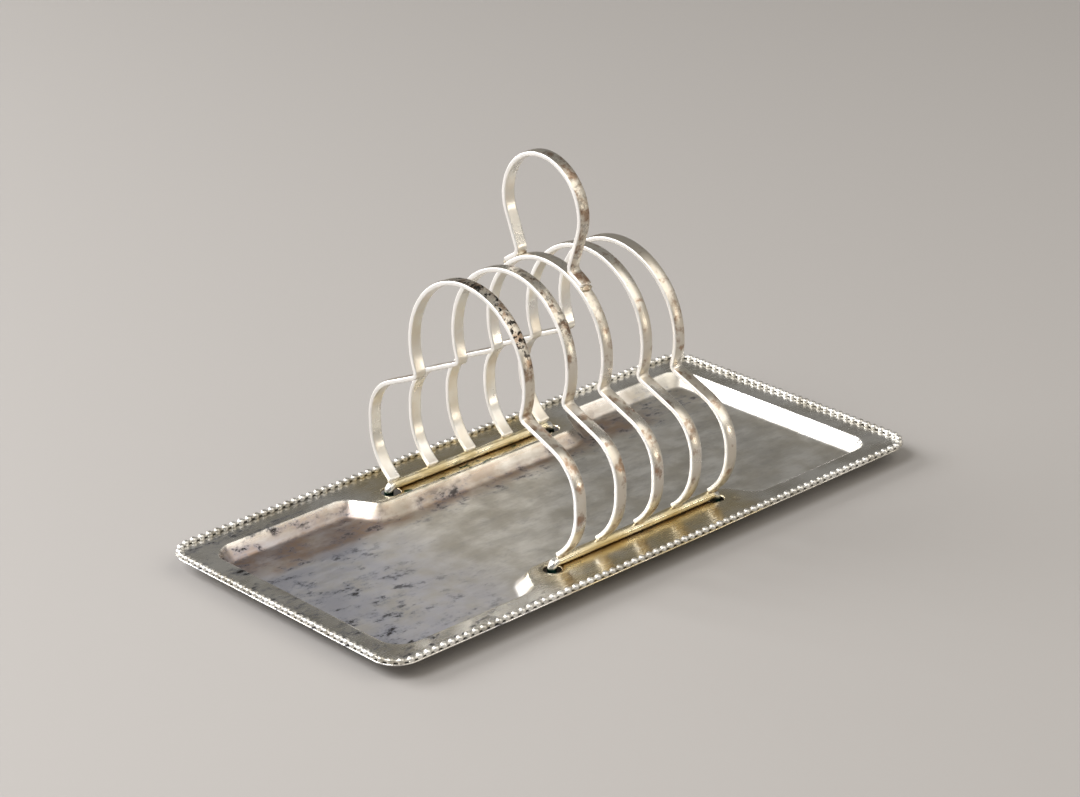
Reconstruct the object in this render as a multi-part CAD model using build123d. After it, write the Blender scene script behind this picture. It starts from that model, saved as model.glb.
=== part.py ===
from build123d import *
import os
from math import asin, atan2, cos, degrees, pi, radians, sin, sqrt, tan

# Toast rack on its own tray, silver-plated, sizes in millimetres.
# +X runs along the tray, +Y across it, +Z up. The origin is the centre of the tray's
# underside, which is the face that rests on the table.

# Beaded border: it sets the length and width of the tray.
BEAD_PITCH = 3.135
BEADS_LONG_SIDE = 67
BEADS_SHORT_SIDE = 30
BEADS_PER_CORNER = 4
BEAD_RADIUS = 1.15
BEAD_WIRE_RADIUS = 0.75
BEAD_CENTRE_ABOVE_RIM = 0.55
RIM_LIP = 1.2  # from the bead row's centre line to the cut edge of the tray

# Tray: one pressed sheet, with a flat rim and a waisted well.
SHEET = 1.0
WELL_DEPTH = 5.2
WALL_SLOPE = 50.0  # degrees from flat
WELL_INSET = 8.5  # from the bead row to the well's end walls and wide side walls
WAIST_INSET = 20.6  # from the bead row to the well's side walls under the rack
WAIST_HALF_LENGTH = 42.4
WAIST_RAMP = 6.8  # run along X in which the side wall moves in to the waist
WELL_CORNER_RADIUS = 8.0
WAIST_CORNER_RADIUS = 6.5
RIM_EDGE_FILLET = 1.5
FLOOR_EDGE_FILLET = 2.0

# Rails: two round wires along X, each with both ends bent down through the rim.
RAIL_WIRE = 3.2
RAIL_HALF_SPACING = 39.6
RAIL_ENDS_NEAR = (-36.3, 36.0)  # centre lines of the bent-down ends
RAIL_ENDS_FAR = (-35.6, 36.0)
RAIL_BEND = 2.2
RAIL_SEAT_GAP = 0.1  # the wire stands this far off the rim
TAIL_BELOW_RIM = 1.2
# Punched by hand, so each hole has its own place and size: (x, y, diameter).
RAIL_HOLES = ((-36.3, -39.8, 5.6), (36.2, -39.7, 4.8), (-34.9, 39.4, 6.4), (36.2, 39.6, 6.0))

# Arches: five strips bent to a round top with a round shoulder each side.
ARCH_PITCH = 16.62
STRIP_WIDTH = 4.4
STRIP_THICKNESS = 1.7
STRIP_EDGE_RADIUS = 0.7
CROWN_RADIUS = 26.5
CROWN_CENTRE_Z = 54.4  # heights of the arch are above the rim's top face
SHOULDER_RADIUS = 16.15
SHOULDER_CENTRE_Y = 32.0
SHOULDER_CENTRE_Z = 22.4
SHOULDER_TOP_ANGLE = 67.0  # where the shoulder's arc runs out into its straight top
NOTCH_RADIUS = 1.9
SHANK_RADIUS = 20.5  # the lower leg curves in to the rail, below a short straight run
SHANK_CENTRE_Z = 20.4
FOOT_Z = 3.65
# Bent and set by hand, so each arch leans and stands a little differently.
ARCH_MIDDLE_X = 0.8  # the arches stand off the middle of the tray, and turned by this much
ARCH_TURN = 0.8  # degrees about Z
ARCH_LEAN = (-0.2, 1.3, -0.2, 0.5, -1.9)  # degrees, positive leans the crown towards +X
ARCH_RISE = (1.6, 1.0, 1.2, 0.5, -0.7)  # its legs are this much longer than the drawn ones
MIDDLE_ARCH = 2

# Handle: a loop of the same strip, soldered on the crown of the middle arch.
LOOP_RADIUS = 17.1
LOOP_CENTRE_Z = 98.75
LOOP_CLOSING_ANGLE = 20.0  # the legs close in by this angle
LOOP_FOOT_BEND = 2.4
LOOP_FOOT_LENGTH = 5.0
LOOP_SEAT_GAP = 0.05  # film of solder between the handle's feet and the crown

# Worked out from the values above.
BEAD_CORNER_RADIUS = BEADS_PER_CORNER * BEAD_PITCH / (pi / 2)
BEAD_HALF_X = BEADS_LONG_SIDE * BEAD_PITCH / 2 + BEAD_CORNER_RADIUS
BEAD_HALF_Y = BEADS_SHORT_SIDE * BEAD_PITCH / 2 + BEAD_CORNER_RADIUS
TRAY_LENGTH = 2 * (BEAD_HALF_X + RIM_LIP)
TRAY_WIDTH = 2 * (BEAD_HALF_Y + RIM_LIP)
RIM_TOP = SHEET + WELL_DEPTH
RIM_UNDERSIDE = RIM_TOP - SHEET
RAIL_Z = RIM_TOP + RAIL_SEAT_GAP + RAIL_WIRE / 2


def point_at(centre, radius, angle):
    """Point on a circle, with the angle in degrees."""
    return (centre[0] + radius * cos(radians(angle)), centre[1] + radius * sin(radians(angle)))


def angle_to(centre, point):
    """Direction from a centre to a point, in degrees."""
    return degrees(atan2(point[1] - centre[1], point[0] - centre[0]))


def reach(start, direction, centre, distance):
    """First point along a line, from start, that lies at a given distance from a centre."""
    along = (start[0] - centre[0]) * direction[0] + (start[1] - centre[1]) * direction[1]
    apart = (start[0] - centre[0]) ** 2 + (start[1] - centre[1]) ** 2 - distance**2
    step = -along - sqrt(along**2 - apart)
    return (start[0] + step * direction[0], start[1] + step * direction[1])


def strip_along(edges):
    """Strip with rounded edges, swept along edges drawn in the (y, z) plane."""
    path = Plane.YZ * Wire(edges)
    start = Plane(origin=path @ 0, x_dir=(1, 0, 0), z_dir=path % 0)
    section = start * RectangleRounded(STRIP_WIDTH, STRIP_THICKNESS, STRIP_EDGE_RADIUS)
    return sweep(section, path=path)


def well_outline(outset):
    """Closed outline of the well where it meets the rim, moved outwards by outset."""
    end_x = BEAD_HALF_X - WELL_INSET + outset
    wide_y = BEAD_HALF_Y - WELL_INSET + outset
    waist_y = BEAD_HALF_Y - WAIST_INSET + outset
    ramp_angle = atan2(wide_y - waist_y, WAIST_RAMP)
    shift = outset * tan(ramp_angle / 2)
    inner_x = WAIST_HALF_LENGTH - shift
    outer_x = inner_x + WAIST_RAMP
    quarter = [(inner_x, waist_y), (outer_x, wide_y), (end_x, wide_y)]
    signs = [(1, 1), (-1, 1), (-1, -1), (1, -1)]
    points = []
    radii = []
    for number, (sx, sy) in enumerate(signs):
        run = quarter if number % 2 else quarter[::-1]
        for x, y in run:
            points.append((sx * x, sy * y))
            if x == end_x:
                radii.append(WELL_CORNER_RADIUS + outset)
            elif x == outer_x:
                radii.append(WAIST_CORNER_RADIUS + outset)
            else:
                radii.append(WAIST_CORNER_RADIUS - outset)
    return FilletPolyline(*points, radius=radii, close=True)


def well_block(outset, top, bottom):
    """Solid that fills the well, or its outer skin, between two heights."""
    face = Pos(0, 0, top) * make_face(well_outline(outset))
    return extrude(face, amount=top - bottom, dir=(0, 0, -1), taper=90 - WALL_SLOPE)


def make_tray():
    """Pressed tray: flat rim, sloping walls, flat floor and the four holes for the rails."""
    rim = extrude(RectangleRounded(TRAY_LENGTH, TRAY_WIDTH, BEAD_CORNER_RADIUS + RIM_LIP), SHEET)
    rim = Pos(0, 0, RIM_UNDERSIDE) * rim
    skin_outset = SHEET / sin(radians(WALL_SLOPE)) - SHEET / tan(radians(WALL_SLOPE))
    tray = rim + well_block(skin_outset, RIM_UNDERSIDE, 0)
    tray -= well_block(0, RIM_TOP, SHEET)
    top_edges = tray.edges().filter_by_position(Axis.Z, RIM_TOP, RIM_TOP)
    well_x = BEAD_HALF_X - WELL_INSET / 2
    well_y = BEAD_HALF_Y - WELL_INSET / 2
    well_edges = top_edges.filter_by(
        lambda edge: abs(edge.center().X) < well_x and abs(edge.center().Y) < well_y
    )
    tray = fillet(well_edges, RIM_EDGE_FILLET)
    tray = fillet(tray.edges().filter_by_position(Axis.Z, SHEET, SHEET), FLOOR_EDGE_FILLET)
    for x, y, diameter in RAIL_HOLES:
        tray -= Pos(x, y, RIM_TOP) * Cylinder(diameter / 2, 4 * SHEET)
    return tray


def beaded_run(count):
    """Straight length of beaded wire along +X from the origin, turned about its own axis."""
    half_bead = sqrt(BEAD_RADIUS**2 - BEAD_WIRE_RADIUS**2)
    edges = [Line((0, 0), (0, BEAD_WIRE_RADIUS))]
    last = (0, BEAD_WIRE_RADIUS)
    for number in range(count):
        middle = (number + 0.5) * BEAD_PITCH
        near = (middle - half_bead, BEAD_WIRE_RADIUS)
        far = (middle + half_bead, BEAD_WIRE_RADIUS)
        edges.append(Line(last, near))
        edges.append(ThreePointArc(near, (middle, BEAD_RADIUS), far))
        last = far
    end = count * BEAD_PITCH
    edges.append(Line(last, (end, BEAD_WIRE_RADIUS)))
    edges.append(Line((end, BEAD_WIRE_RADIUS), (end, 0)))
    edges.append(Line((end, 0), (0, 0)))
    return revolve(make_face(edges), Axis.X)


def beaded_corner():
    """Quarter turn of beaded wire about the origin, from +X round to +Y."""
    ring = revolve(
        Plane.XZ * Pos(BEAD_CORNER_RADIUS, 0) * Circle(BEAD_WIRE_RADIUS), Axis.Z, 90
    )
    for number in range(BEADS_PER_CORNER):
        turn = (number + 0.5) * 90 / BEADS_PER_CORNER
        x, y = point_at((0, 0), BEAD_CORNER_RADIUS, turn)
        ring += Pos(x, y, 0) * Sphere(BEAD_RADIUS)
    return ring


def make_bead_border():
    """Beaded wire all round the rim, flattened underneath where it is soldered down."""
    corner_x = BEAD_HALF_X - BEAD_CORNER_RADIUS
    corner_y = BEAD_HALF_Y - BEAD_CORNER_RADIUS
    long_run = Pos(-corner_x, 0, 0) * beaded_run(BEADS_LONG_SIDE)
    short_run = Pos(0, -corner_y, 0) * Rot(Z=90) * beaded_run(BEADS_SHORT_SIDE)
    pieces = []
    for side in (-1, 1):
        pieces.append(Pos(0, side * BEAD_HALF_Y, 0) * long_run)
        pieces.append(Pos(side * BEAD_HALF_X, 0, 0) * short_run)
    corner = beaded_corner()
    for number, (sx, sy) in enumerate([(1, 1), (-1, 1), (-1, -1), (1, -1)]):
        pieces.append(Pos(sx * corner_x, sy * corner_y, 0) * Rot(Z=90 * number) * corner)
    border = pieces[0].fuse(*pieces[1:])
    border = Pos(0, 0, RIM_TOP + BEAD_CENTRE_ABOVE_RIM) * border
    below = Pos(0, 0, RIM_TOP - BEAD_RADIUS) * Box(2 * TRAY_LENGTH, 2 * TRAY_WIDTH, 2 * BEAD_RADIUS)
    return border - below


def make_rail(side, ends):
    """One rail: a straight wire with both ends bent down through the rim."""
    tail_z = RIM_UNDERSIDE - TAIL_BELOW_RIM
    path = FilletPolyline(
        (ends[0], 0, tail_z),
        (ends[0], 0, RAIL_Z),
        (ends[1], 0, RAIL_Z),
        (ends[1], 0, tail_z),
        radius=RAIL_BEND,
    )
    section = Plane(origin=path @ 0, z_dir=path % 0) * Circle(RAIL_WIRE / 2)
    return Pos(0, side * RAIL_HALF_SPACING, 0) * sweep(section, path=path)


def arch_edges(rise):
    """Centre line of an arch in the (y, z) plane, from the +Y foot over to the -Y foot."""
    crown = (0, RIM_TOP + CROWN_CENTRE_Z + rise)
    shoulder = (SHOULDER_CENTRE_Y, RIM_TOP + SHOULDER_CENTRE_Z + rise)
    leg_y = SHOULDER_CENTRE_Y + SHOULDER_RADIUS
    shank = (leg_y - SHANK_RADIUS, RIM_TOP + SHANK_CENTRE_Z)
    foot_angle = -degrees(asin((SHANK_CENTRE_Z - FOOT_Z) / SHANK_RADIUS))
    inwards = point_at((0, 0), 1, SHOULDER_TOP_ANGLE + 90)
    line_start = point_at(shoulder, SHOULDER_RADIUS, SHOULDER_TOP_ANGLE)
    notch_start = point_at(shoulder, SHOULDER_RADIUS + NOTCH_RADIUS, SHOULDER_TOP_ANGLE)
    notch = reach(notch_start, inwards, crown, CROWN_RADIUS + NOTCH_RADIUS)
    line_end = point_at(notch, NOTCH_RADIUS, SHOULDER_TOP_ANGLE + 180)
    crown_angle = angle_to(crown, notch)
    notch_sweep = (SHOULDER_TOP_ANGLE + 180) - (crown_angle + 180)
    right = [
        CenterArc(shank, SHANK_RADIUS, foot_angle, -foot_angle),
        Line((leg_y, shank[1]), (leg_y, shoulder[1])),
        CenterArc(shoulder, SHOULDER_RADIUS, 0, SHOULDER_TOP_ANGLE),
        Line(line_start, line_end),
        CenterArc(notch, NOTCH_RADIUS, SHOULDER_TOP_ANGLE + 180, -notch_sweep),
    ]
    left = [edge.mirror(Plane.YZ) for edge in reversed(right)]
    top = CenterArc(crown, CROWN_RADIUS, crown_angle, 180 - 2 * crown_angle)
    return right + [top] + left


def place_arch(shape, number):
    """Lean and turn a shape about its feet and move it to its arch's place along the rails."""
    tilt = Pos(0, 0, RAIL_Z) * Rot(Y=ARCH_LEAN[number]) * Pos(0, 0, -RAIL_Z)
    x = ARCH_MIDDLE_X + (number - MIDDLE_ARCH) * ARCH_PITCH
    return Pos(x, 0, 0) * Rot(Z=ARCH_TURN) * tilt * shape


def make_arch(number, rails):
    """One arch, its feet cut to sit on the rails."""
    arch = place_arch(strip_along(arch_edges(ARCH_RISE[number])), number)
    for rail in rails:
        arch -= rail
    return max(arch.solids(), key=lambda solid: solid.volume)


def handle_edges():
    """Centre line of the handle in the (y, z) plane, from the +Y foot over to the -Y foot."""
    crown = (0, RIM_TOP + CROWN_CENTRE_Z + ARCH_RISE[MIDDLE_ARCH])
    loop = (0, RIM_TOP + LOOP_CENTRE_Z + ARCH_RISE[MIDDLE_ARCH])
    foot_radius = CROWN_RADIUS + STRIP_THICKNESS + LOOP_SEAT_GAP
    leg_top = point_at(loop, LOOP_RADIUS, -LOOP_CLOSING_ANGLE)
    bend_start = point_at(loop, LOOP_RADIUS + LOOP_FOOT_BEND, -LOOP_CLOSING_ANGLE)
    down = point_at((0, 0), 1, -LOOP_CLOSING_ANGLE - 90)
    bend = reach(bend_start, down, crown, foot_radius + LOOP_FOOT_BEND)
    crown_angle = angle_to(crown, bend)
    foot_angle = degrees(LOOP_FOOT_LENGTH / foot_radius)
    leg_bottom = point_at(bend, LOOP_FOOT_BEND, 180 - LOOP_CLOSING_ANGLE)
    bend_sweep = (180 + crown_angle) - (180 - LOOP_CLOSING_ANGLE)
    right = [
        CenterArc(crown, foot_radius, crown_angle - foot_angle, foot_angle),
        CenterArc(bend, LOOP_FOOT_BEND, 180 + crown_angle, -bend_sweep),
        Line(leg_bottom, leg_top),
    ]
    left = [edge.mirror(Plane.YZ) for edge in reversed(right)]
    top = CenterArc(loop, LOOP_RADIUS, -LOOP_CLOSING_ANGLE, 180 + 2 * LOOP_CLOSING_ANGLE)
    return right + [top] + left


def make_handle_loop():
    """Handle loop, its feet lying along the outside of the middle arch's crown."""
    return place_arch(strip_along(handle_edges()), MIDDLE_ARCH)


def build():
    """Every piece of the toast rack, by name."""
    rails = [make_rail(-1, RAIL_ENDS_NEAR), make_rail(1, RAIL_ENDS_FAR)]
    pieces = {
        "tray": make_tray(),
        "bead_border": make_bead_border(),
        "rail_near": rails[0],
        "rail_far": rails[1],
    }
    for number in range(5):
        pieces[f"arch_{number + 1}"] = make_arch(number, rails)
    pieces["handle_loop"] = make_handle_loop()
    return pieces


os.makedirs("parts", exist_ok=True)
for name, piece in build().items():
    export_step(piece, f"parts/{name}.step")
    print(name, round(piece.volume, 1), "mm3")
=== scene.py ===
from math import atan2, ceil, copysign, cos, degrees, exp, hypot, pi, radians, sin, sqrt, tan

import bmesh
import bpy
import numpy as np
from mathutils import Matrix, Vector, noise
from mathutils.geometry import delaunay_2d_cdt


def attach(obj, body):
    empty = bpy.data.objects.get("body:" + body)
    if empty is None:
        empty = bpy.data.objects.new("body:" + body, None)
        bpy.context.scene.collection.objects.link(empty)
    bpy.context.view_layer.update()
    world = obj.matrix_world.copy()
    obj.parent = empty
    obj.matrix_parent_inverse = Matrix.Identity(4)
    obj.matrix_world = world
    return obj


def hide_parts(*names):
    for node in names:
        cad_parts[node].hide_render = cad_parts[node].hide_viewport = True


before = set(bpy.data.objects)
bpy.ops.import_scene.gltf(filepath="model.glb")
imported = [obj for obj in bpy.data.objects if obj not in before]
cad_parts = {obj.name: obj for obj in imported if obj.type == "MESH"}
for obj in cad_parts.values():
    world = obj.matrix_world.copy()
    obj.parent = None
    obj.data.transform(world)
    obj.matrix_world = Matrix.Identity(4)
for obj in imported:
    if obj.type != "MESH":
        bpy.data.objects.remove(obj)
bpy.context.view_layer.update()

# A silver-plated toast rack that stands in its own beaded tray.
# Shapes are worked out in millimetres, with +X along the tray and +Z up, and become metres
# when a piece is made. The origin is the centre of the tray's underside.
MM = 0.001

# ---------------------------------------------------------------- driving sizes, millimetres

# Tray and its beaded wire.
BEAD_PITCH = 3.135
BEADS_LONG_SIDE = 67
BEADS_SHORT_SIDE = 30
BEADS_PER_CORNER = 4
BEAD_RADIUS = 1.15
BEAD_CENTRE_ABOVE_RIM = 0.55
RIM_LIP = 1.2
SHEET = 1.0
RIM_SHEET = 0.5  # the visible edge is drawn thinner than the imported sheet, and the floor is not
WELL_DEPTH = 5.2
WALL_SLOPE = 50.0
WELL_INSET = 8.5
WAIST_INSET = 20.6
WAIST_HALF_LENGTH = 42.4
WAIST_RAMP = 6.8
WELL_CORNER_RADIUS = 8.0
WAIST_CORNER_RADIUS = 6.5
RIM_EDGE_FILLET = 1.5
FLOOR_EDGE_FILLET = 2.0
RAIL_HOLES = ((-36.3, -39.8, 5.6), (36.2, -39.7, 4.8), (-34.9, 39.4, 6.4), (36.2, 39.6, 6.0))
HOLE_DISH = 0.35  # the punch has pressed the hole's edge down by this much
HOLE_BURR = 0.25  # the round edge that the punch left
DENT_PLACE = (40.8, -44.3)  # a knock in the rim beyond the near rail's right end
DENT_DEPTH = 1.0
DENT_WIDTH = 1.5
SHEET_GRID = 1.6  # between the points of the sheet's flat parts

BEAD_CORNER_RADIUS = BEADS_PER_CORNER * BEAD_PITCH / (pi / 2)
BEAD_HALF_X = BEADS_LONG_SIDE * BEAD_PITCH / 2 + BEAD_CORNER_RADIUS
BEAD_HALF_Y = BEADS_SHORT_SIDE * BEAD_PITCH / 2 + BEAD_CORNER_RADIUS
RIM_TOP = SHEET + WELL_DEPTH

# Rack: two wire rails, five arches and a handle, all bent from one line each.
RAIL_RADIUS = 1.6
RAIL_HALF_SPACING = 39.6
RAIL_ENDS_NEAR = (-36.3, 36.0)
RAIL_ENDS_FAR = (-35.6, 36.0)
RAIL_BEND = 2.2
RAIL_Z = RIM_TOP + 0.1 + RAIL_RADIUS
RAIL_TAIL_Z = RIM_TOP - SHEET - 1.2
ARCH_PITCH = 16.62
ARCH_TOP = RIM_TOP + 54.4 + 26.5
ARCH_MIDDLE_X = 0.8  # the arches as a group stand this far off the middle of the tray
ARCH_TURN = 0.8  # degrees about Z
ARCH_LEAN = (-0.2, 1.3, -0.2, 0.5, -1.9)  # degrees, positive leans the crown towards +X
ARCH_RISE = (1.6, 1.0, 1.2, 0.5, -0.7)  # in the length of the legs
MIDDLE_ARCH = 2  # counting from 0, the arch that carries the handle
HANDLE_TOP = RIM_TOP + 98.75 + 17.1 + ARCH_RISE[MIDDLE_ARCH]
HANDLE_SINK = 0.2  # keeps the uneven metal of the loop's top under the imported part's height
STRIP_WIDTH = 4.4
STRIP_THICKNESS = 1.7

# Half of each bent line, from its top down to its foot. A move is (radius, turn in degrees),
# where a positive turn is to the left, or (length, 0) for a straight run.
ARCH_MOVES = ((26.5, -110.79), (1.9, 87.79), (13.58, 0), (16.15, -67.0), (2.0, 0), (20.5, -54.8))
LEG_RUN = 4  # the straight move that takes up how much an arch is taller
HANDLE_MOVES = ((17.1, -110.0), (11.33, 0), (2.4, 81.88), (28.25, -10.14))


# ---------------------------------------------------------------- lines, sweeps and pieces


def move_length(move):
    """Length of a straight run or an arc."""
    size, turn = move
    return size * radians(abs(turn)) if turn else size


def walk(start, heading, moves, distance):
    """Place and heading after a distance along straight runs and arcs."""
    place = Vector(start)
    angle = radians(heading)
    for move in moves:
        gone = min(distance, move_length(move))
        size, turn = move
        if turn:
            side = copysign(size, turn)
            centre = place + side * Vector((-sin(angle), cos(angle)))
            angle += gone / side
            place = centre - side * Vector((-sin(angle), cos(angle)))
        else:
            place = place + gone * Vector((cos(angle), sin(angle)))
        distance -= gone
    return place, angle


def walk_all(start, heading, moves, step):
    """Places and headings at even steps along the moves, from the start to the end."""
    length = sum(move_length(move) for move in moves)
    count = ceil(length / step)
    return [walk(start, heading, moves, length * number / count) for number in range(count + 1)]


def both_halves(half):
    """A line that is the same on both sides of its first point, from one foot to the other."""
    mirrored = [(Vector((-place.x, place.y)), -angle) for place, angle in reversed(half[1:])]
    return mirrored + half


def uneven(distance, wavelength, seed):
    """Smooth hand-made unevenness between about -1 and 1, at a distance along a line."""
    return noise.noise(Vector((distance / wavelength, seed * 7.31, seed * 1.7)))


def strip_section():
    """Outline of the flat strip as (across, outwards): round corners, a slightly full outer face."""
    corner = 0.45
    fullness = 0.14
    half_width = STRIP_WIDTH / 2 - corner
    half_thick = STRIP_THICKNESS / 2 - corner
    outline = []
    for across, outwards, start in ((1, 1, 0), (-1, 1, 90), (-1, -1, 180), (1, -1, 270)):
        for turn in range(0, 91, 18):
            angle = radians(start + turn)
            lowered = fullness if outwards > 0 else 0
            outline.append((
                across * half_width + corner * cos(angle),
                outwards * half_thick + corner * sin(angle) - lowered,
            ))
        if start == 0:
            for share in (0.93, 0.6, 0.2, -0.2, -0.6, -0.93):
                rise = fullness * (1 - share**2)
                outline.append((share * half_width, STRIP_THICKNESS / 2 - fullness + rise))
        if start == 180:
            for share in (-0.93, 0, 0.93):
                outline.append((share * half_width, -STRIP_THICKNESS / 2))
    return outline


def wire_section(radius, count=20):
    """Round outline as (across, outwards)."""
    return [
        (radius * cos(2 * pi * number / count), radius * sin(2 * pi * number / count))
        for number in range(count)
    ]


def sweep(line, section, plane, seed, sway=0.12, twist=0.9, end_round=0.3):
    """Points and faces of a section carried along a line in a plane, with hand-made unevenness."""
    first, second, origin = (Vector(part) for part in plane)
    side = first.cross(second)
    points = []
    distance = 0
    rings = [(place, angle, 1.0, 0.0) for place, angle in line]
    rings.insert(0, (line[0][0], line[0][1], 0.72, -end_round))
    rings.append((line[-1][0], line[-1][1], 0.72, end_round))
    last = line[0][0]
    for place, angle, scale, push in rings:
        distance += (place - last).length
        last = place
        ahead = first * cos(angle) + second * sin(angle)
        up = second * cos(angle) - first * sin(angle)
        centre = origin + first * place.x + second * place.y + ahead * push
        centre += up * sway * uneven(distance, 21, seed) + side * sway * uneven(distance, 33, seed + 5)
        turn = radians(twist) * uneven(distance, 27, seed + 11)
        swell = scale * (1 + 0.03 * uneven(distance, 9, seed + 17))
        for across, outwards in section:
            a = across * cos(turn) - outwards * sin(turn)
            b = across * sin(turn) + outwards * cos(turn)
            points.append(centre + side * (a * swell) + up * (b * swell))
    count = len(section)
    faces = []
    for ring in range(len(rings) - 1):
        for number in range(count):
            here = ring * count + number
            beside = ring * count + (number + 1) % count
            faces.append((here, beside, beside + count, here + count))
    faces.append(tuple(reversed(range(count))))
    faces.append(tuple(range(len(points) - count, len(points))))
    return points, faces


def make_piece(name, points, faces, finish, body, stands_for, values=None):
    """One visible piece, from points in millimetres, riding on a body."""
    mesh = bpy.data.meshes.new(name)
    mesh.from_pydata([Vector(point) * MM for point in points], [], faces)
    edit = bmesh.new()
    edit.from_mesh(mesh)
    bmesh.ops.recalc_face_normals(edit, faces=edit.faces)
    edit.to_mesh(mesh)
    edit.free()
    mesh.shade_smooth()
    for label, numbers in (values or {}).items():
        layer = mesh.attributes.new(label, "FLOAT", "POINT")
        layer.data.foreach_set("value", numbers)
    mesh.materials.append(finish)
    piece = bpy.data.objects.new(name, mesh)
    bpy.context.scene.collection.objects.link(piece)
    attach(piece, body)
    if stands_for:
        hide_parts(*stands_for)
    return piece


# ---------------------------------------------------------------- finishes

SMOOTH = {"interpolation_type": "SMOOTHSTEP"}
TIMES = {"operation": "MULTIPLY"}
PLUS = {"operation": "ADD"}
TINT = {"data_type": "RGBA", "out": 2}


def colour(hex_code):
    """Linear colour, with full alpha, from an sRGB hex code."""
    parts = [int(hex_code[start:start + 2], 16) / 255 for start in (1, 3, 5)]
    linear = [part / 12.92 if part <= 0.04045 else ((part + 0.055) / 1.055) ** 2.4 for part in parts]
    return (*linear, 1.0)


def add(tree, kind, inputs, out=0, **settings):
    """Adds a node and gives back one output. Inputs are values or outputs, by socket or in order."""
    made = tree.nodes.new("ShaderNode" + kind)
    for name, value in settings.items():
        setattr(made, name, value)
    for socket, value in inputs.items() if isinstance(inputs, dict) else enumerate(inputs):
        if isinstance(value, bpy.types.NodeSocket):
            tree.links.new(value, made.inputs[socket])
        else:
            made.inputs[socket].default_value = value
    return made.outputs[out]


def new_finish(name):
    """Empty material with a Principled surface, and the piece's own coordinates in metres."""
    finish = bpy.data.materials.new(name)
    finish.use_nodes = True
    tree = finish.node_tree
    surface = tree.nodes["Principled BSDF"]
    place = add(tree, "TexCoord", (), out=3)
    return finish, tree, surface, place


def grain(tree, place, size_mm, detail=3.0, roughness=0.55, stretch=(1, 1, 1), offset=0.0):
    """Cloudy pattern from 0 to 1 whose features are about size_mm, longer where stretch is more."""
    scale = [1 / (size_mm * MM * part) for part in stretch]
    spot = add(tree, "VectorMath", (place, scale), operation="MULTIPLY")
    moved = add(tree, "VectorMath", (spot, (offset, offset, offset)), operation="ADD")
    settings = {"Vector": moved, "Scale": 1.0, "Detail": detail, "Roughness": roughness}
    return add(tree, "TexNoise", settings)


def set_surface(tree, surface, base, roughness, height, depth_mm):
    """Polished metal whose colour, gloss and relief come from nodes."""
    surface.inputs["Metallic"].default_value = 1.0
    tree.links.new(base, surface.inputs["Base Color"])
    tree.links.new(roughness, surface.inputs["Roughness"])
    relief = add(tree, "Bump", {"Height": height, "Distance": depth_mm * MM, "Strength": 1.0})
    tree.links.new(relief, surface.inputs["Normal"])


SILVER = colour("#f3f1ec")
THIN_TARNISH = colour("#c2bdb2")
SCOURED_SILVER = colour("#b3afa6")
FILED_SILVER = colour("#fcfaf6")
CREAM_TARNISH = colour("#eee6d8")
DULL_SILVER = colour("#e0d8ca")
PALE_BRASS = colour("#e0d8c0")
TIN_GREY = colour("#d9d0bb")
# The rails' own brass yellow, also used for the painted reflection of the rails on the rim.
BRASS_YELLOW = colour("#cdbc90")
# Brown tarnish and grime, also used as painted shade under the rails.
BROWN_TARNISH_AND_SHADE = colour("#a1866f")
LILAC_TARNISH = colour("#c8c9d4")
BLUE_TARNISH = colour("#8f93a3")
# Black tarnish, also used as painted shade in the beads' gaps and undersides.
BLACK_TARNISH_AND_SHADE = colour("#2e2b29")
WORN_COPPER = colour("#b58467")
VERDIGRIS = colour("#1f4a44")


def paint_rail_reflection(tree, base, across, along, patches):
    """Painted reflection of the brass rails: gold on the rim beside the rails and along their length, in
    patches.
    """
    # Painted reflection: the rim turns gold beside the brass rails and along their length, in patches.
    rail_reflection = add(tree, "MapRange", (across, 0.031, 0.038), **SMOOTH)
    near_middle = add(tree, "MapRange", (along, 0.050, 0.036), **SMOOTH)
    rail_reflection = add(tree, "Math", (rail_reflection, near_middle), **TIMES)
    reflection_patches = add(tree, "MapRange", (patches, 0.2, 0.65, 0.25, 0.85), **SMOOTH)
    rail_reflection = add(tree, "Math", (rail_reflection, reflection_patches), **TIMES)
    return add(tree, "Mix", {0: rail_reflection, 6: base, 7: BRASS_YELLOW}, **TINT)


def scour(tree, base, place, low, left, clouds):
    """Dull streaks where the floor was scoured along its length, and lilac bloom on its left end."""
    streaks = grain(tree, place, 6, detail=6, roughness=0.66, stretch=(2.8, 1, 1), offset=2.6)
    veil = add(tree, "MapRange", (streaks, 0.36, 0.62, 0.5, 0), **SMOOTH)
    veil = add(tree, "Math", (low, veil), **TIMES)
    base = add(tree, "Mix", {0: veil, 6: base, 7: SCOURED_SILVER}, **TINT)
    bloom = add(tree, "Math", (low, left), **TIMES)
    cloudy = add(tree, "MapRange", (clouds, 0.7, 0.35, 0.2, 0.9), **SMOOTH)
    bloom = add(tree, "Math", (bloom, cloudy), **TIMES)
    return add(tree, "Mix", {0: bloom, 6: base, 7: LILAC_TARNISH}, **TINT)


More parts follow.
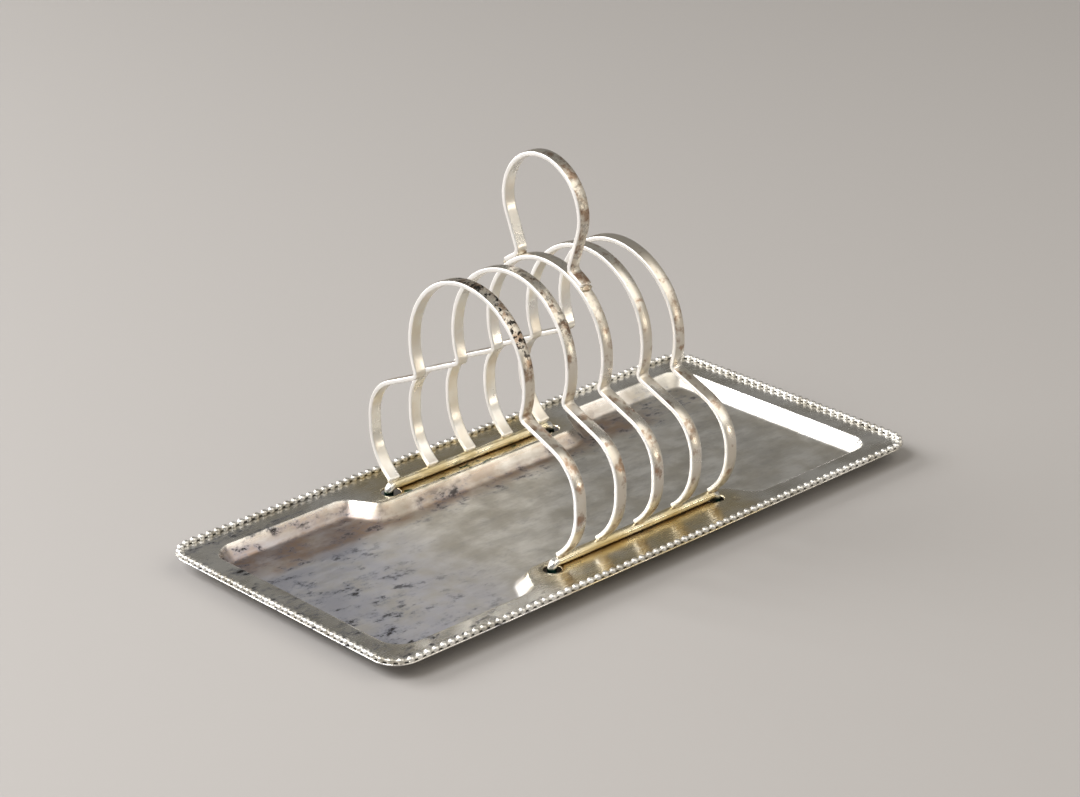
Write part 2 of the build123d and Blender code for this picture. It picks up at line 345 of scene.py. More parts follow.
def grime(tree, base, x, y, z, patches):
    """Brown grime on the walls' lower half, most along the foot of the far wall."""
    wall = add(tree, "MapRange", (z, 0.0062, 0.0048), **SMOOTH)
    above_floor = add(tree, "MapRange", (z, 0.0011, 0.0026, 0, 0.75), **SMOOTH)
    wall = add(tree, "Math", (wall, above_floor), **TIMES)
    foot = add(tree, "MapRange", (z, 0.0032, 0.0014), **SMOOTH)
    waist_foot = add(tree, "MapRange", (y, 0.0225, 0.0300), **SMOOTH)
    foot = add(tree, "Math", (foot, waist_foot), **TIMES)
    share = add(tree, "Math", (wall, foot), operation="MAXIMUM")
    backwards = add(tree, "MapRange", (y, -0.030, 0.025, 0.3, 1), **SMOOTH)
    share = add(tree, "Math", (share, backwards), **TIMES)
    right_end = add(tree, "MapRange", (x, 0.060, 0.088, 1, 0.1), **SMOOTH)
    share = add(tree, "Math", (share, right_end), **TIMES)
    patchy = add(tree, "MapRange", (patches, 0.3, 0.6, 0.3, 0.85), **SMOOTH)
    share = add(tree, "Math", (share, patchy), **TIMES)
    return add(tree, "Mix", {0: share, 6: base, 7: BROWN_TARNISH_AND_SHADE}, **TINT)


def blacken(tree, base, x, y, low, patches, mottle):
    """Black spots with a blue-grey halo: crowded at the left end and on the floor's far side, a few
    elsewhere. Gives back the colour and where the spots are."""
    crowd = add(tree, "MapRange", (x, -0.040, -0.085, 0.1, 1), **SMOOTH)
    far_line = add(tree, "MapRange", (y, 0.018, 0.027, 0, 0.75), **SMOOTH)
    far_line = add(tree, "Math", (far_line, low), **TIMES)
    crowd = add(tree, "Math", (crowd, far_line), operation="MAXIMUM")
    patchy = add(tree, "MapRange", (patches, 0.4, 0.56), **SMOOTH)
    crowd = add(tree, "Math", (crowd, patchy), **TIMES)
    halo = add(tree, "MapRange", (mottle, 0.46, 0.56, 0, 0.55), **SMOOTH)
    halo = add(tree, "Math", (halo, crowd), **TIMES)
    base = add(tree, "Mix", {0: halo, 6: base, 7: BLUE_TARNISH}, **TINT)
    spots = add(tree, "MapRange", (mottle, 0.54, 0.61), **SMOOTH)
    spots = add(tree, "Math", (spots, crowd), **TIMES)
    return add(tree, "Mix", {0: spots, 6: base, 7: BLACK_TARNISH_AND_SHADE}, **TINT), spots


def corrode(tree, base, place, y, along):
    """Green crusts in a line on the rim, just inside the far rail."""
    green = add(tree, "MapRange", (y, 0.0335, 0.0355), **SMOOTH)
    before_rail = add(tree, "MapRange", (y, 0.0385, 0.0372), **SMOOTH)
    green = add(tree, "Math", (green, before_rail), **TIMES)
    near_middle = add(tree, "MapRange", (along, 0.036, 0.033), **SMOOTH)
    green = add(tree, "Math", (green, near_middle), **TIMES)
    crusts = grain(tree, place, 3.4, detail=3, stretch=(1.5, 1, 1), offset=5.9)
    crusts = add(tree, "MapRange", (crusts, 0.54, 0.6), **SMOOTH)
    green = add(tree, "Math", (green, crusts), **TIMES)
    return add(tree, "Mix", {0: green, 6: base, 7: VERDIGRIS}, **TINT)


def pressed_tray_plate():
    """Electroplated silver on a pressed tray: glossy but never flat, so reflections waver; gold by the
    rails is a painted reflection of the brass rails; brown on the far wall, lilac and spotted black in the
    well's left end."""
    finish, tree, surface, place = new_finish("electroplated silver tray")
    x, y, z = add(tree, "SeparateXYZ", (place,)).node.outputs
    across = add(tree, "Math", (y,), operation="ABSOLUTE")
    along = add(tree, "Math", (x,), operation="ABSOLUTE")
    low = add(tree, "MapRange", (z, 0.0058, 0.0022), **SMOOTH)
    left = add(tree, "MapRange", (x, -0.030, -0.070), **SMOOTH)
    clouds = grain(tree, place, 17, detail=5)
    patches = grain(tree, place, 7, detail=4, roughness=0.62, stretch=(1.8, 1, 1), offset=3.1)
    mottle = grain(tree, place, 4.6, detail=8, roughness=0.74, stretch=(1.5, 1, 1), offset=7.7)
    polish = grain(tree, place, 0.5, detail=2, stretch=(26, 1, 1), offset=8.2)

    share = add(tree, "MapRange", (clouds, 0.36, 0.68), **SMOOTH)
    base = add(tree, "Mix", {0: share, 6: SILVER, 7: THIN_TARNISH}, **TINT)
    # Painted reflection of the brass rails on the rim beside them.
    base = paint_rail_reflection(tree, base, across, along, patches)
    base = scour(tree, base, place, low, left, clouds)
    base = grime(tree, base, x, y, z, patches)
    base, spots = blacken(tree, base, x, y, low, patches, mottle)
    base = corrode(tree, base, place, y, along)

    # The floor has been scoured and is duller than the rim; the right end keeps more polish.
    gloss = add(tree, "MapRange", (clouds, 0.3, 0.7, 0.17, 0.27), **SMOOTH)
    dull = add(tree, "MapRange", (x, 0.045, 0.090, 0.22, 0.16), **SMOOTH)
    gloss = add(tree, "Math", (gloss, add(tree, "Math", (low, dull), **TIMES)), **PLUS)
    rubbed = add(tree, "MapRange", (polish, 0.35, 0.7, 0, 0.06), **SMOOTH)
    gloss = add(tree, "Math", (gloss, rubbed), **PLUS)
    gloss = add(tree, "Math", (gloss, add(tree, "Math", (spots, 0.3), **TIMES)), **PLUS)
    waves = grain(tree, place, 6.5, detail=1.5, offset=1.3)
    fine = grain(tree, place, 0.8, detail=3, offset=5.3)
    height = add(tree, "Math", (waves, add(tree, "Math", (fine, 0.012), **TIMES)), **PLUS)
    height = add(tree, "Math", (height, add(tree, "Math", (polish, 0.008), **TIMES)), **PLUS)
    height = add(tree, "Math", (height, add(tree, "Math", (spots, -0.03), **TIMES)), **PLUS)
    set_surface(tree, surface, base, gloss, height, 0.11)
    return finish


def bead_plate():
    """Cast and plated beads, polished on top by wear: black tarnish in the gaps between them,
    with painted shade that darkens the gaps and the beads' undersides.
    """
    finish, tree, surface, place = new_finish("electroplated silver beads")
    tarnish_and_shade_share = add(tree, "Attribute", (), out=2, attribute_name="tarnish_and_shade")
    clouds = grain(tree, place, 9)
    share = add(tree, "MapRange", (clouds, 0.38, 0.7), **SMOOTH)
    base = add(tree, "Mix", {0: share, 6: SILVER, 7: THIN_TARNISH}, **TINT)
    # Painted shade with real tarnish: black in the gaps between the beads and on their undersides.
    dark_tarnish_and_shade = add(tree, "Math", (tarnish_and_shade_share, add(tree, "Math", (clouds, 0.3), **TIMES)), **PLUS)
    dark_tarnish_and_shade = add(tree, "MapRange", (dark_tarnish_and_shade, 0.78, 1.2, 0, 0.9), **SMOOTH)
    base = add(tree, "Mix", {0: dark_tarnish_and_shade, 6: base, 7: BLACK_TARNISH_AND_SHADE}, **TINT)
    gloss = add(tree, "MapRange", (tarnish_and_shade_share, 0.2, 0.9, 0.4, 0.55), **SMOOTH)
    set_surface(tree, surface, base, gloss, grain(tree, place, 1.1, offset=2.2), 0.03)
    return finish


def rail_plate():
    """Thinly plated brass wire: the brass shows gold through the worn silver, green at the holes,
    and painted shade in brown on its underside next to the rim.
    """
    finish, tree, surface, place = new_finish("worn silver on brass wire")
    x, y, z = add(tree, "SeparateXYZ", (place,)).node.outputs
    clouds = grain(tree, place, 5, detail=4, stretch=(2, 1, 1))
    share = add(tree, "MapRange", (clouds, 0.3, 0.66), **SMOOTH)
    base = add(tree, "Mix", {0: share, 6: PALE_BRASS, 7: BRASS_YELLOW}, **TINT)
    # Painted shade: the rail's underside next to the rim is darkened to brown.
    painted_shade_under = add(tree, "MapRange", (z, (RIM_TOP + 1.3) * MM, (RIM_TOP + 0.1) * MM, 0, 0.8), **SMOOTH)
    base = add(tree, "Mix", {0: painted_shade_under, 6: base, 7: BROWN_TARNISH_AND_SHADE}, **TINT)
    along = add(tree, "Math", (x,), operation="ABSOLUTE")
    ends = add(tree, "MapRange", (along, 0.0335, 0.0352), **SMOOTH)
    base = add(tree, "Mix", {0: ends, 6: base, 7: SILVER}, **TINT)
    green = add(tree, "MapRange", (z, (RIM_TOP + 0.9) * MM, (RIM_TOP - 0.1) * MM), **SMOOTH)
    green = add(tree, "Math", (ends, green), **TIMES)
    base = add(tree, "Mix", {0: green, 6: base, 7: VERDIGRIS}, **TINT)
    gloss = add(tree, "MapRange", (clouds, 0.3, 0.7, 0.22, 0.36), **SMOOTH)
    set_surface(tree, surface, base, gloss, grain(tree, place, 2.2, stretch=(3, 1, 1)), 0.05)
    return finish


def strip_plate(name, wear, pits):
    """Electroplated strip, bent and polished by hand: white on its filed edges, cream inside,
    brown where handling has worn the outer face, with black pits in the plate."""
    finish, tree, surface, place = new_finish(name)
    z = add(tree, "SeparateXYZ", (place,), out=2)
    clouds = grain(tree, place, 11, detail=4)
    patches = grain(tree, place, 4.5, detail=4, roughness=0.62, offset=4.4)
    mottle = grain(tree, place, 1.7, detail=4, roughness=0.7, offset=9.1)
    outer = add(tree, "Attribute", (), out=2, attribute_name="outer")
    edge = add(tree, "Attribute", (), out=2, attribute_name="edge")

    share = add(tree, "MapRange", (clouds, 0.36, 0.7), **SMOOTH)
    base = add(tree, "Mix", {0: share, 6: SILVER, 7: CREAM_TARNISH}, **TINT)
    dull = add(tree, "MapRange", (clouds, 0.3, 0.6, 0.55, 0.95), **SMOOTH)
    dull = add(tree, "Math", (outer, dull), **TIMES)
    base = add(tree, "Mix", {0: dull, 6: base, 7: DULL_SILVER}, **TINT)
    worn = add(tree, "MapRange", (patches, 0.62 - 0.3 * wear, 0.74 - 0.2 * wear, 0, 0.85), **SMOOTH)
    brown = add(tree, "Math", (outer, worn), **TIMES)
    base = add(tree, "Mix", {0: brown, 6: base, 7: BROWN_TARNISH_AND_SHADE}, **TINT)
    copper = add(tree, "MapRange", (mottle, 0.5, 0.62, 0, wear), **SMOOTH)
    copper = add(tree, "Math", (brown, copper), **TIMES)
    base = add(tree, "Mix", {0: copper, 6: base, 7: WORN_COPPER}, **TINT)

    spots = add(tree, "MapRange", (mottle, 0.5, 0.56), **SMOOTH)
    spots = add(tree, "Math", (spots, add(tree, "MapRange", (patches, 0.34, 0.48), **SMOOTH)), **TIMES)
    spots = add(tree, "Math", (spots, outer), **TIMES)
    high = add(tree, "MapRange", (z, 0.060, 0.076, 0, pits), **SMOOTH)
    spots = add(tree, "Math", (spots, high), **TIMES)
    base = add(tree, "Mix", {0: spots, 6: base, 7: BLACK_TARNISH_AND_SHADE}, **TINT)
    base = add(tree, "Mix", {0: edge, 6: base, 7: FILED_SILVER}, **TINT)

    gloss = add(tree, "MapRange", (clouds, 0.3, 0.7, 0.26, 0.38), **SMOOTH)
    gloss = add(tree, "Math", (gloss, add(tree, "Math", (spots, 0.3), **TIMES)), **PLUS)
    gloss = add(tree, "Math", (gloss, add(tree, "Math", (edge, 0.24), **TIMES)), **PLUS)
    waves = grain(tree, place, 5, detail=2, offset=6.1)
    height = add(tree, "Math", (waves, add(tree, "Math", (spots, -0.5), **TIMES)), **PLUS)
    set_surface(tree, surface, base, gloss, height, 0.05)
    return finish


def soft_solder():
    """Tin and lead solder: pale grey, with brown burnt flux in its hollows."""
    finish, tree, surface, place = new_finish("soft solder")
    patches = grain(tree, place, 2.2, detail=4)
    share = add(tree, "MapRange", (patches, 0.42, 0.66, 0, 0.8), **SMOOTH)
    base = add(tree, "Mix", {0: share, 6: TIN_GREY, 7: BROWN_TARNISH_AND_SHADE}, **TINT)
    gloss = add(tree, "MapRange", (patches, 0.3, 0.7, 0.28, 0.46), **SMOOTH)
    set_surface(tree, surface, base, gloss, grain(tree, place, 0.9), 0.08)
    return finish


TRAY_PLATE = pressed_tray_plate()
BEAD_PLATE = bead_plate()
RAIL_PLATE = rail_plate()
SOLDER = soft_solder()


# ---------------------------------------------------------------- the tray


def closed_loop(start, heading, moves, step):
    """Points of a closed outline with the direction to its left, which is inwards."""
    places = walk_all(start, heading, moves, step)[:-1]
    return [(place, Vector((-sin(angle), cos(angle)))) for place, angle in places]


def rim_outline(step):
    """The tray's outer edge, anticlockwise."""
    radius = BEAD_CORNER_RADIUS + RIM_LIP
    long_side = BEADS_LONG_SIDE * BEAD_PITCH
    short_side = BEADS_SHORT_SIDE * BEAD_PITCH
    moves = ((long_side, 0), (radius, 90), (short_side, 0), (radius, 90)) * 2
    return closed_loop((-long_side / 2, -BEAD_HALF_Y - RIM_LIP), 0, moves, step)


def well_outline(step):
    """Where the well's walls would meet the rim if the edge were sharp, anticlockwise."""
    end_x = BEAD_HALF_X - WELL_INSET
    wide_y = BEAD_HALF_Y - WELL_INSET
    drop = WAIST_INSET - WELL_INSET
    turn = atan2(drop, WAIST_RAMP)
    cut = WAIST_CORNER_RADIUS * tan(turn / 2)
    to_corner = (wide_y - WELL_CORNER_RADIUS, 0)
    wide_run = (end_x - WELL_CORNER_RADIUS - WAIST_HALF_LENGTH - WAIST_RAMP - cut, 0)
    ramp = (hypot(drop, WAIST_RAMP) - 2 * cut, 0)
    into_waist = ((WAIST_CORNER_RADIUS, degrees(turn)), ramp, (WAIST_CORNER_RADIUS, -degrees(turn)))
    corner = (WELL_CORNER_RADIUS, 90)
    waist = (2 * (WAIST_HALF_LENGTH - cut), 0)
    half = (to_corner, corner, wide_run, *into_waist, waist, *into_waist[::-1], wide_run, corner, to_corner)
    return closed_loop((end_x, 0), 90, half * 2, step)


def wall_profile():
    """The wall from rim to floor: (distance inwards from the outline, drop, slope in radians)."""
    slope = radians(WALL_SLOPE)
    rim_start = -RIM_EDGE_FILLET * tan(slope / 2)
    floor_end = WELL_DEPTH / tan(slope) + FLOOR_EDGE_FILLET * tan(slope / 2)
    profile = [(rim_start - 0.25, 0, 0)]
    for share in (0, 0.25, 0.5, 0.75, 1):
        angle = slope * share
        inwards = rim_start + RIM_EDGE_FILLET * sin(angle)
        profile.append((inwards, -RIM_EDGE_FILLET * (1 - cos(angle)), angle))
    top = profile[-1]
    lower = []
    for share in (1, 0.8, 0.6, 0.4, 0.2, 0):
        angle = slope * share
        inwards = floor_end - FLOOR_EDGE_FILLET * sin(angle)
        lower.append((inwards, -WELL_DEPTH + FLOOR_EDGE_FILLET * (1 - cos(angle)), angle))
    bottom = lower[0]
    for share in (0.1, 0.35, 0.65, 0.9):
        between = [top[part] + share * (bottom[part] - top[part]) for part in (0, 1)]
        profile.append((*between, slope))
    return profile + lower + [(floor_end + 0.5, -WELL_DEPTH, 0)]


def sheet_height(x, y, drop):
    """Height of the tray's upper face: the rim is a little wavy, and the floor bulges upwards only."""
    on_floor = -drop / WELL_DEPTH
    wavy = 0.10 * noise.noise(Vector((x / 34, y / 34, 0.3)))
    wavy += 0.035 * noise.noise(Vector((x / 13, y / 13, 4)))
    bulge = 0.11 * (1 + noise.noise(Vector((x / 30, y / 22, 9))))
    bulge += 0.02 * noise.noise(Vector((x / 11, y / 11, 2)))
    from_dent = hypot(x - DENT_PLACE[0], y - DENT_PLACE[1]) / DENT_WIDTH
    dent = DENT_DEPTH * exp(-from_dent**2)
    return RIM_TOP + drop + (1 - on_floor) * wavy + on_floor * max(0, bulge) - dent


class SheetPlan:
    """The points of the sheet seen from above, each with its drop and its tilt."""

    def __init__(self):
        self.flat = []
        self.links = []
        self.drops = []
        self.tilts = []

    def add_point(self, place, drop, tilt):
        """One point of the sheet."""
        self.flat.append(place)
        self.drops.append(drop)
        self.tilts.append(tilt)

    def add_ring(self, places, drop, slope, directions):
        """Closed ring of points at one drop, where the sheet slopes towards the directions."""
        first = len(self.flat)
        for number, place in enumerate(places):
            sideways = directions[number] * sin(slope)
            self.add_point(place, drop, Vector((sideways.x, sideways.y, cos(slope))))
            self.links.append((first + number, first + (number + 1) % len(places)))
        return list(range(first, len(self.flat)))


def add_holes_and_dent(plan, holes):
    """Dished rings round each hole, and rings that follow the dent. Gives back the holes' edges."""
    spokes = [Vector((cos(2 * pi * n / 40), sin(2 * pi * n / 40))) for n in range(40)]
    inwards = [-spoke for spoke in spokes]
    edges = []
    for hole, radius in holes:
        ring = plan.add_ring([hole + spoke * radius for spoke in spokes], -HOLE_DISH, radians(24), inwards)
        edges.append((ring, inwards, HOLE_BURR))
        for further, share in ((0.15, 0.6), (0.3, 0.25)):
            places = [hole + spoke * (radius + further) for spoke in spokes]
            plan.add_ring(places, -HOLE_DISH * share, radians(24) * share, inwards)
    dent = Vector(DENT_PLACE)
    for radius in (0.5, 1.0, 1.5, 2.0, 2.6, 3.3):
        plan.add_ring([dent + spoke * radius for spoke in spokes[::2]], 0, 0, inwards[::2])
    return edges


def add_grid(plan, outline, profile, holes):
    """Even points over the rim and the floor, clear of the wall, the holes, the dent and the edge."""
    samples = np.array([place[:] for place, _ in outline])
    lefts = np.array([left[:] for _, left in outline])
    near_rim, near_floor = profile[0][0] - 0.6, profile[-1][0] + 0.6
    corner = Vector((BEAD_HALF_X - BEAD_CORNER_RADIUS, BEAD_HALF_Y - BEAD_CORNER_RADIUS))
    reach = BEAD_CORNER_RADIUS + RIM_LIP - RIM_SHEET / 2 - 0.9
    row_gap = SHEET_GRID * sqrt(3) / 2
    rows = ceil(BEAD_HALF_Y / row_gap)
    columns = ceil(BEAD_HALF_X / SHEET_GRID) + 1
    kept_clear = [(hole, radius + 0.9) for hole, radius in holes] + [(Vector(DENT_PLACE), 4)]
    for row in range(-rows, rows + 1):
        for column in range(-columns, columns + 1):
            spot = Vector(((column + 0.5 * (row % 2)) * SHEET_GRID, row * row_gap))
            beyond = [max(0, abs(part) - limit) for part, limit in zip(spot, corner)]
            if hypot(*beyond) > reach:
                continue
            if any((spot - centre).length < clear for centre, clear in kept_clear):
                continue
            nearest = int(np.argmin(((samples - spot[:]) ** 2).sum(1)))
            away = spot - Vector(samples[nearest])
            inside = copysign(away.length, float(np.dot(lefts[nearest], away[:])))
            if near_rim < inside < near_floor:
                continue
            plan.add_point(spot, 0 if inside < 0 else -WELL_DEPTH, Vector((0, 0, 1)))


def both_faces(plan, holes):
    """Points and faces of the sheet's upper and lower faces, the upper face's points first."""
    result = delaunay_2d_cdt(plan.flat, plan.links, [], 0, 1e-7, True)
    places, triangles, origins = result[0], result[2], result[3]
    count = len(plan.flat)
    if len(places) != count:
        raise ValueError("the tray's rings cross: " + str(len(places) - count) + " extra points")
    source = [found[0] for found in origins]
    points = [None] * (2 * count)
    for own, place in zip(source, places):
        drop = plan.drops[own]
        top = Vector((place.x, place.y, sheet_height(place.x, place.y, drop)))
        thickness = RIM_SHEET - (SHEET - RIM_SHEET) * drop / WELL_DEPTH
        points[own] = top
        points[own + count] = top - plan.tilts[own] * thickness
    faces = []
    for triangle in triangles:
        corners = [source[number] for number in triangle]
        middle = sum((Vector(plan.flat[number]) for number in corners), Vector((0, 0))) / 3
        if any((middle - hole).length < radius * 0.995 for hole, radius in holes):
            continue
        faces.append(tuple(corners))
        faces.append(tuple(number + count for number in reversed(corners)))
    return points, faces


def round_off(points, faces, ring, outwards, fullness, count):
    """Half-round edge between a ring of the upper face and the same ring, count further on, below."""
    steps = 6
    rows = [ring]
    for step in range(1, steps):
        angle = pi * step / steps
        row = []
        for number, direction in zip(ring, outwards):
            middle = (points[number] + points[number + count]) / 2
            across = (points[number] - points[number + count]) / 2
            bulge = Vector((direction.x, direction.y, 0)).cross(across).cross(across)
            bulge *= -fullness / bulge.length * sin(angle)
            row.append(len(points))
            points.append(middle + bulge + across * cos(angle))
        rows.append(row)
    rows.append([number + count for number in ring])
    for above, below in zip(rows, rows[1:]):
        for number in range(len(ring)):
            after = (number + 1) % len(ring)
            faces.append((above[number], above[after], below[after], below[number]))


def tray_sheet():
    """The pressed tray as one closed skin: upper face, lower face, and round edges between them."""
    plan = SheetPlan()
    outline = well_outline(0.95)
    lefts = [left for _, left in outline]
    profile = wall_profile()
    for inwards, drop, slope in profile:
        plan.add_ring([place + left * inwards for place, left in outline], drop, slope, lefts)
    edge = rim_outline(1.0)
    lefts = [left for _, left in edge]
    half = RIM_SHEET / 2
    ring = plan.add_ring([place + left * half for place, left in edge], 0, 0, lefts)
    edges = [(ring, [-left for left in lefts], half)]
    plan.add_ring([place + left * (half + 0.35) for place, left in edge], 0, 0, lefts)
    holes = [(Vector((x, y)), diameter / 2 + HOLE_BURR) for x, y, diameter in RAIL_HOLES]
    edges += add_holes_and_dent(plan, holes)
    add_grid(plan, outline, profile, holes)
    points, faces = both_faces(plan, holes)
    count = len(plan.flat)
    for ring, outwards, fullness in edges:
        round_off(points, faces, ring, outwards, fullness, count)
    return make_piece("tray_sheet", points, faces, TRAY_PLATE, "tray_body", ["tray"])


def beaded_wire():
    """Beads on a thin wire, all round the rim, each a little different and worn flat on top."""
    long_side = (BEADS_LONG_SIDE * BEAD_PITCH, 0)
    short_side = (BEADS_SHORT_SIDE * BEAD_PITCH, 0)
    corner = (BEAD_CORNER_RADIUS, 90)
    moves = (long_side, corner, short_side, corner) * 2
    start = (-BEADS_LONG_SIDE * BEAD_PITCH / 2, -BEAD_HALF_Y)
    beads = 2 * (BEADS_LONG_SIDE + BEADS_SHORT_SIDE) + 4 * BEADS_PER_CORNER
    sides = 14
    points, faces, tarnish_and_shade_values = [], [], []
    for bead in range(beads):
        size = BEAD_RADIUS * (1 + 0.05 * uneven(bead, 1.37, 3))
        middle = (bead + 0.5) * BEAD_PITCH + 0.08 * uneven(bead, 1.21, 8)
        outwards = 0.09 * uneven(bead, 1.13, 12)
        for angle in (-64, -50, -34, -17, 0, 17, 34, 50, 64):
            distance = middle + size * sin(radians(angle))
            radius = size * cos(radians(angle))
            place, heading = walk(start, 0, moves, distance % (beads * BEAD_PITCH))
            right = Vector((sin(heading), -cos(heading), 0))
            centre = Vector((place.x, place.y, RIM_TOP + BEAD_CENTRE_ABOVE_RIM)) + right * outwards
            for side in range(sides):
                turn = 2 * pi * side / sides
                rise = radius * sin(turn)
                worn = rise - 0.3 * max(0, rise - 0.72 * size)
                points.append(centre + right * radius * cos(turn) + Vector((0, 0, worn)))
                # Painted shade with tarnish: darker towards the gaps between the beads and on each bead's
                # underside.
                tarnish_and_shade_here = abs(angle) / 64 * 0.75 + 0.35 * max(0, -sin(turn))
                tarnish_and_shade_values.append(min(1, tarnish_and_shade_here**2))
    rings = len(points) // sides
    for ring in range(rings):
        for side in range(sides):
            after = (side + 1) % sides
            following = (ring + 1) % rings
            faces.append((ring * sides + side, ring * sides + after,
                          following * sides + after, following * sides + side))
    return make_piece("beaded_wire", points, faces, BEAD_PLATE, "tray_body",
                      ["bead_border"], {"tarnish_and_shade": tarnish_and_shade_values})


# ---------------------------------------------------------------- the rack


def face_shares(section, rings):
    """How far each point of a swept strip belongs to its outer face and to its edges, 0 to 1."""
    half_thick, half_width = STRIP_THICKNESS / 2, STRIP_WIDTH / 2
    outer = [max(0.0, min(1.0, (outwards / half_thick - 0.45) / 0.4)) for _, outwards in section]
    edge = [max(0.0, min(1.0, (abs(across) / half_width - 0.82) / 0.14)) for across, _ in section]
    return {"outer": outer * rings, "edge": edge * rings}


def arch_place(number):
    """Where an arch stands along the rails, with its lean and turn, as a matrix in millimetres."""
    lean = Matrix.Rotation(radians(ARCH_LEAN[number]), 4, "Y")
    turn = Matrix.Rotation(radians(ARCH_TURN), 4, "Z")
    pivot = Vector((0, 0, RAIL_Z))
    shift = Vector((ARCH_MIDDLE_X + (number - MIDDLE_ARCH) * ARCH_PITCH, 0, 0))
    return Matrix.Translation(shift + pivot) @ turn @ lean @ Matrix.Translation(-pivot)


def bent_strip(name, top, moves, place, finish, node, seed):
    """One strip bent along its line, the same both sides of its top."""
    section = strip_section()
    line = both_halves(walk_all((0, top), 0, moves, 0.55))
    plane = ((0, 1, 0), (0, 0, 1), (0, 0, 0))
    points, faces = sweep(line, section, plane, seed)
    points = [place @ point for point in points]
    shares = face_shares(section, len(points) // len(section))
    return make_piece(name, points, faces, finish, "rack", [node], shares)


def round_rail(name, side, ends, node, seed):
    """One wire rail with both ends bent down through the rim."""
    middle = (ends[0] + ends[1]) / 2
    down = RAIL_Z - RAIL_BEND - RAIL_TAIL_Z
    half = ((ends[1] - middle - RAIL_BEND, 0), (RAIL_BEND, -90), (down, 0))
    line = both_halves(walk_all((0, RAIL_Z), 0, half, 0.5))
    plane = ((1, 0, 0), (0, 0, 1), (middle, side * RAIL_HALF_SPACING, 0))
    points, faces = sweep(line, wire_section(RAIL_RADIUS), plane, seed, sway=0.06)
    return make_piece(name, points, faces, RAIL_PLATE, "rack", [node])


def solder_drop(name, centre, size, tilt, place, seed):
    """A small uneven drop of solder that fills the corner at a foot."""
    edit = bmesh.new()
    bmesh.ops.create_icosphere(edit, subdivisions=4, radius=1)
    turned = Matrix.Rotation(radians(tilt), 4, "X")
    points = []
    for vertex in edit.verts:
        lump = 1 + 0.16 * noise.noise(vertex.co * 1.7 + Vector((seed * 3.7, seed, 0)))
        local = Vector(part * lump * reach for part, reach in zip(vertex.co, size))
        points.append(place @ (turned @ local + Vector(centre)))
    faces = [tuple(vertex.index for vertex in face.verts) for face in edit.faces]
    edit.free()
    return make_piece(name, points, faces, SOLDER, "rack", None)


def arch_and_solder(number):
    """One arch with the solder at its two feet. The nearer arches' finish is more worn and pitted."""
    node = f"arch_{number + 1}"
    finish = strip_plate("electroplated silver " + node, 0.55 - 0.06 * number, max(0, 1 - 0.4 * number))
    rise = ARCH_RISE[number]
    moves = list(ARCH_MOVES)
    moves[LEG_RUN] = (moves[LEG_RUN][0] + rise, 0)
    place = arch_place(number)
    bent_strip(node + "_strip", ARCH_TOP + rise, moves, place, finish, node, number + 1)
    for side, label in ((-1, "near"), (1, "far")):
        centre = (0, side * 40.1, RIM_TOP + 3.1)
        seed = 10 * number + side
        solder_drop(f"{node}_solder_{label}", centre, (2.3, 1.5, 0.75), side * 42, place, seed)


def handle_and_solder():
    """The handle with two drops of solder on each foot: in its bend, and over its end."""
    finish = strip_plate("electroplated silver handle", 0.52, 0.35)
    place = arch_place(MIDDLE_ARCH)
    top = HANDLE_TOP - HANDLE_SINK
    bent_strip("handle_strip", top, HANDLE_MOVES, place, finish, "handle_loop", 9)
    for side, label in ((-1, "near"), (1, "far")):
        inner = (0, side * 11.7, RIM_TOP + 80.75)
        size = (2.1, 1.2, 0.8)
        solder_drop(f"handle_solder_{label}", inner, size, -side * 24, place, 70 + side)
        end = (0, side * 17.7, RIM_TOP + 76.8)
        size = (2.2, 1.2, 0.7)
        solder_drop(f"handle_end_{label}", end, size, -side * 39, place, 80 + side)


tray_sheet()
beaded_wire()
round_rail("rail_wire_near", -1, RAIL_ENDS_NEAR, "rail_near", 31)
round_rail("rail_wire_far", 1, RAIL_ENDS_FAR, "rail_far", 32)
for number in range(len(ARCH_RISE)):
    arch_and_solder(number)
handle_and_solder()


# ---------------------------------------------------------------- floor, light and camera


PALE_BOARD = colour("#aaa6a2")
ROOM_GREY = colour("#85837f")


def studio_floor():
    """Plain pale floor that the object stands on."""
    mesh = bpy.data.meshes.new("studio_floor")
    reach = 4.0
    corners = [(-reach, -reach, 0), (reach, -reach, 0), (reach, reach, 0), (-reach, reach, 0)]
    mesh.from_pydata(corners, [], [(0, 1, 2, 3)])
    finish = bpy.data.materials.new("pale matt board")
    finish.use_nodes = True
    surface = finish.node_tree.nodes["Principled BSDF"]
    surface.inputs["Base Color"].default_value = PALE_BOARD
    surface.inputs["Roughness"].default_value = 0.75
    mesh.materials.append(finish)
    floor = bpy.data.objects.new("studio_floor", mesh)
    bpy.context.scene.collection.objects.link(floor)


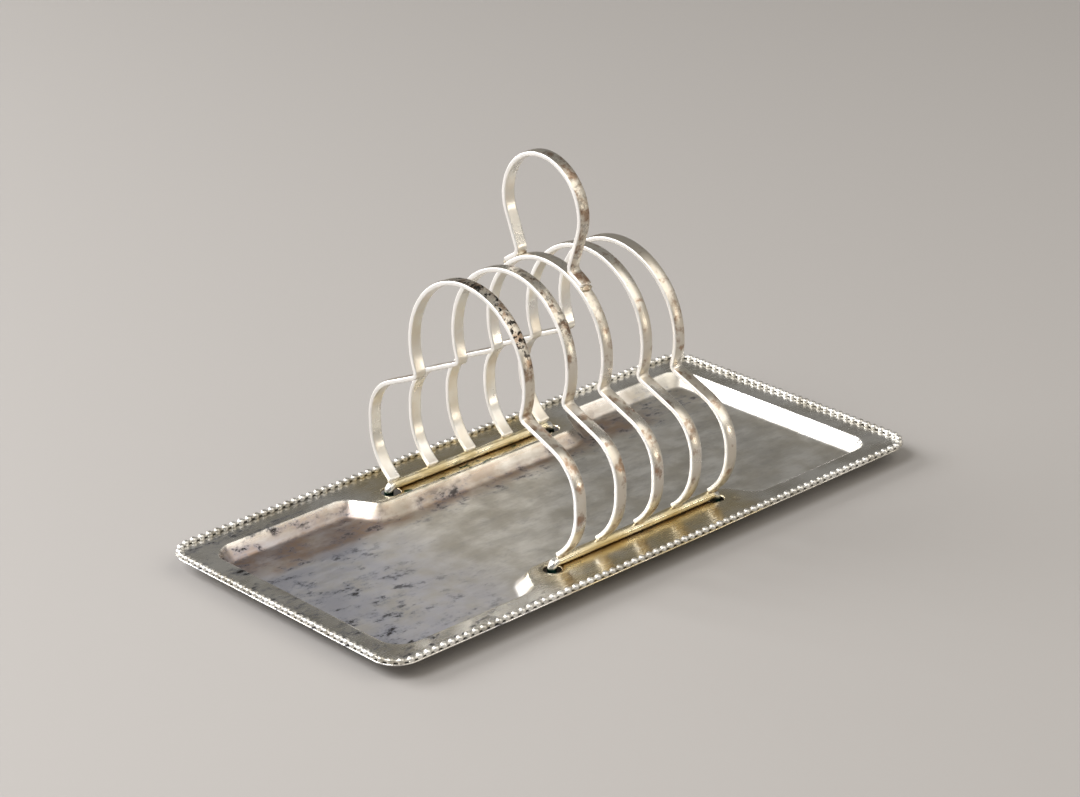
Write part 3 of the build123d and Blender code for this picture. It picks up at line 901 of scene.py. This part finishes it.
def soft_light(name, direction, distance, width, height, power, tint):
    """Large rectangular lamp that faces the object from a direction."""
    lamp = bpy.data.lights.new(name, "AREA")
    lamp.shape = "RECTANGLE"
    lamp.size = width
    lamp.size_y = height
    lamp.energy = power
    lamp.color = colour(tint)[:3]
    light = bpy.data.objects.new(name, lamp)
    aim = Vector((0, 0, 0.04))
    light.location = aim + Vector(direction).normalized() * distance
    light.rotation_euler = (aim - light.location).to_track_quat("-Z", "Y").to_euler()
    light.visible_camera = False
    bpy.context.scene.collection.objects.link(light)


def studio_world():
    """Even grey light from all round, and colours shown as they are."""
    world = bpy.data.worlds.new("studio")
    world.use_nodes = True
    background = world.node_tree.nodes["Background"]
    background.inputs["Color"].default_value = ROOM_GREY
    background.inputs["Strength"].default_value = 1.0
    bpy.context.scene.world = world
    bpy.context.scene.view_settings.view_transform = "Standard"


def studio_camera():
    """Camera at the object's three-quarter view, from the left and a little above."""
    azimuth, elevation, roll = radians(42.118), radians(23.288), radians(-1.39)
    forward = Vector((sin(azimuth) * cos(elevation), cos(azimuth) * cos(elevation), -sin(elevation)))
    level = forward.cross(Vector((0, 0, 1))).normalized()
    upright = level.cross(forward)
    right = level * cos(roll) + upright * sin(roll)
    up = upright * cos(roll) - level * sin(roll)
    target = Vector((0.0148, 0.0200, 0.0299))
    lens = bpy.data.cameras.new("camera")
    lens.sensor_width = 36
    lens.lens = 104.2
    lens.shift_x = -0.00105
    lens.shift_y = -0.00063
    lens.clip_end = 50
    camera = bpy.data.objects.new("camera", lens)
    place = target - forward * 1.03
    camera.matrix_world = Matrix.Translation(place) @ Matrix((right, up, -forward)).transposed().to_4x4()
    bpy.context.scene.collection.objects.link(camera)
    bpy.context.scene.camera = camera


studio_floor()
soft_light("back window", (-0.53, 0.67, 0.52), 1.5, 1.0, 0.8, 21, "#fdfdff")
soft_light("side window", (-0.65, -0.02, 0.76), 1.5, 0.7, 0.7, 13, "#fdfdff")
soft_light("low window", (0.05, 0.98, 0.17), 1.5, 0.6, 0.3, 2.6, "#fffdf8")
soft_light("doorway", (0.61, -0.78, 0.10), 1.4, 0.16, 0.16, 0.8, "#fff4e2")
soft_light("room fill", (0.3, -0.8, 0.9), 2.2, 2.6, 2.0, 24, "#fffaf2")
studio_world()
studio_camera()
